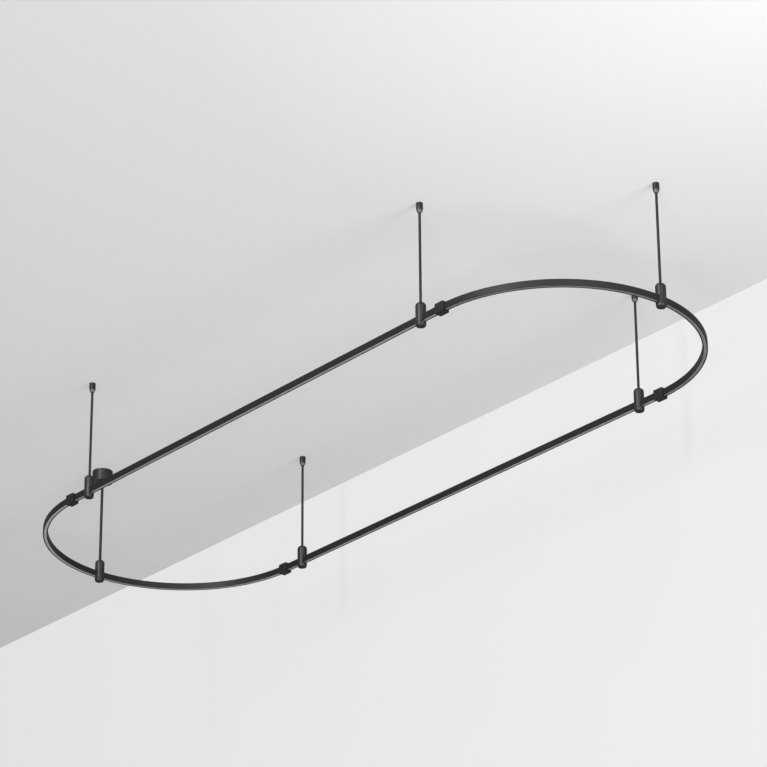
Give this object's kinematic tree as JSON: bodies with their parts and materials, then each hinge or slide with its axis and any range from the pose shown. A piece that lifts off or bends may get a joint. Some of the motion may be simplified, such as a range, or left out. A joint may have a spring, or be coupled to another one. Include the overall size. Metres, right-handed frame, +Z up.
{
  "type": "track lighting fixture",
  "caption": "Suspended low-voltage lighting track: a racetrack loop of black rail with copper conductors underneath, hung on rods with clamps, ceiling caps and a feed canopy.",
  "frame": {"origin": "on the ceiling plane, above the middle of the loop, at the centre of the ceiling holes of the hangers on the straight rails", "axes": "+X along the straight rails, away from the feed; +Z up, out of the ceiling holes; -Y towards the front straight rail"},
  "size_m": [3.0638, 1.036, 0.4563],
  "materials": {
    "black_anodised_rail": "satin black anodised",
    "black_insulator": "matte",
    "copper_conductor": "drawn copper, lightly dulled",
    "black_painted_casting": "satin black paint",
    "steel_screw": "plain steel",
    "black_painted_clamp": "satin black paint",
    "nylon_pad": "matte",
    "black_painted_rod": "satin black paint",
    "black_painted_cap": "satin black paint",
    "zinc_plated_steel": "zinc plated",
    "rubber_ring": "matte",
    "black_painted_canopy": "satin black paint",
    "terminal_plastic": "matte",
    "wire_insulation": "matte"
  },
  "bodies": {
    "frame": {"rail_front": "black_anodised_rail", "insulator_front": "black_insulator", "conductors_front": "copper_conductor", "rail_back": "black_anodised_rail", "insulator_back": "black_insulator", "conductors_back": "copper_conductor", "rail_right": "black_anodised_rail", "insulator_right": "black_insulator", "conductors_right": "copper_conductor", "rail_left": "black_anodised_rail", "insulator_left": "black_insulator", "conductors_left": "copper_conductor", "connector_sleeve_front_left": "black_painted_casting", "connector_sleeve_front_right": "black_painted_casting", "connector_sleeve_back_right": "black_painted_casting", "connector_sleeve_back_left": "black_painted_casting", "jumper_carriers": "black_insulator", "jumper_bars": "copper_conductor", "connector_grub_screws": "steel_screw", "clamp_body_front_left": "black_painted_clamp", "clamp_body_front_right": "black_painted_clamp", "clamp_body_right": "black_painted_clamp", "clamp_body_back_right": "black_painted_clamp", "clamp_body_back_left": "black_painted_clamp", "clamp_body_feed": "black_painted_clamp", "suspension_rod_front_left": "black_painted_rod", "suspension_rod_front_right": "black_painted_rod", "suspension_rod_right": "black_painted_rod", "suspension_rod_back_right": "black_painted_rod", "suspension_rod_back_left": "black_painted_rod", "ceiling_anchors": "zinc_plated_steel", "cap_o_rings": "rubber_ring", "feed_tube": "black_painted_rod", "canopy_plate": "zinc_plated_steel", "feed_tube_locknuts": "zinc_plated_steel", "terminal_block": "terminal_plastic", "feed_wires": "wire_insulation"},
    "pad_front_left": {"clamp_pad_front_left": "nylon_pad"},
    "nut_front_left": {"clamp_nut_front_left": "black_painted_clamp"},
    "pad_front_right": {"clamp_pad_front_right": "nylon_pad"},
    "nut_front_right": {"clamp_nut_front_right": "black_painted_clamp"},
    "pad_right": {"clamp_pad_right": "nylon_pad"},
    "nut_right": {"clamp_nut_right": "black_painted_clamp"},
    "pad_back_right": {"clamp_pad_back_right": "nylon_pad"},
    "nut_back_right": {"clamp_nut_back_right": "black_painted_clamp"},
    "pad_back_left": {"clamp_pad_back_left": "nylon_pad"},
    "nut_back_left": {"clamp_nut_back_left": "black_painted_clamp"},
    "pad_feed": {"clamp_pad_feed": "nylon_pad"},
    "nut_feed": {"clamp_nut_feed": "black_painted_clamp"},
    "cap_front_left": {"ceiling_cap_front_left": "black_painted_cap"},
    "cap_front_right": {"ceiling_cap_front_right": "black_painted_cap"},
    "cap_right": {"ceiling_cap_right": "black_painted_cap"},
    "cap_back_right": {"ceiling_cap_back_right": "black_painted_cap"},
    "cap_back_left": {"ceiling_cap_back_left": "black_painted_cap"},
    "canopy": {"canopy": "black_painted_canopy", "canopy_screws": "steel_screw"}
  },
  "joints": [
    {"name": "pad_drop_front_left", "type": "slide", "parent": "frame", "child": "pad_front_left", "axis": [0, 0, -1], "range_m": [0, 0.0061]},
    {"name": "nut_turn_front_left", "type": "hinge", "parent": "pad_front_left", "child": "nut_front_left", "pos_m": [-0.9, -0.5, -0.45], "axis": [0, 0, -1], "range_deg": [0, 1440]},
    {"name": "pad_drop_front_right", "type": "slide", "parent": "frame", "child": "pad_front_right", "axis": [0, 0, -1], "range_m": [0, 0.0061]},
    {"name": "nut_turn_front_right", "type": "hinge", "parent": "pad_front_right", "child": "nut_front_right", "pos_m": [0.9, -0.5, -0.45], "axis": [0, 0, -1], "range_deg": [0, 1440]},
    {"name": "pad_drop_right", "type": "slide", "parent": "frame", "child": "pad_right", "axis": [0, 0, -1], "range_m": [0, 0.0061]},
    {"name": "nut_turn_right", "type": "hinge", "parent": "pad_right", "child": "nut_right", "pos_m": [1.5034, 0, -0.45], "axis": [0, 0, -1], "range_deg": [0, 1440]},
    {"name": "pad_drop_back_right", "type": "slide", "parent": "frame", "child": "pad_back_right", "axis": [0, 0, -1], "range_m": [0, 0.0061]},
    {"name": "nut_turn_back_right", "type": "hinge", "parent": "pad_back_right", "child": "nut_back_right", "pos_m": [0.9, 0.5, -0.45], "axis": [0, 0, -1], "range_deg": [0, 1440]},
    {"name": "pad_drop_back_left", "type": "slide", "parent": "frame", "child": "pad_back_left", "axis": [0, 0, -1], "range_m": [0, 0.0061]},
    {"name": "nut_turn_back_left", "type": "hinge", "parent": "pad_back_left", "child": "nut_back_left", "pos_m": [-0.9, 0.5, -0.45], "axis": [0, 0, -1], "range_deg": [0, 1440]},
    {"name": "pad_drop_feed", "type": "slide", "parent": "frame", "child": "pad_feed", "axis": [0, 0, -1], "range_m": [0, 0.0061]},
    {"name": "nut_turn_feed", "type": "hinge", "parent": "pad_feed", "child": "nut_feed", "pos_m": [-1.5034, 0, -0.45], "axis": [0, 0, -1], "range_deg": [0, 1440]},
    {"name": "cap_slide_front_left", "type": "slide", "parent": "frame", "child": "cap_front_left", "axis": [0, 0, -1], "range_m": [0, 0.333]},
    {"name": "cap_slide_front_right", "type": "slide", "parent": "frame", "child": "cap_front_right", "axis": [0, 0, -1], "range_m": [0, 0.333]},
    {"name": "cap_slide_right", "type": "slide", "parent": "frame", "child": "cap_right", "axis": [0, 0, -1], "range_m": [0, 0.333]},
    {"name": "cap_slide_back_right", "type": "slide", "parent": "frame", "child": "cap_back_right", "axis": [0, 0, -1], "range_m": [0, 0.333]},
    {"name": "cap_slide_back_left", "type": "slide", "parent": "frame", "child": "cap_back_left", "axis": [0, 0, -1], "range_m": [0, 0.333]},
    {"name": "canopy_slide", "type": "slide", "parent": "frame", "child": "canopy", "axis": [0, 0, -1], "range_m": [0, 0.325]}
  ],
  "couplings": [
    {"joint": "pad_drop_front_left", "follows": "nut_turn_front_left", "m_per_rad": 0.00023873},
    {"joint": "pad_drop_front_right", "follows": "nut_turn_front_right", "m_per_rad": 0.00023873},
    {"joint": "pad_drop_right", "follows": "nut_turn_right", "m_per_rad": 0.00023873},
    {"joint": "pad_drop_back_right", "follows": "nut_turn_back_right", "m_per_rad": 0.00023873},
    {"joint": "pad_drop_back_left", "follows": "nut_turn_back_left", "m_per_rad": 0.00023873},
    {"joint": "pad_drop_feed", "follows": "nut_turn_feed", "m_per_rad": 0.00023873}
  ]
}
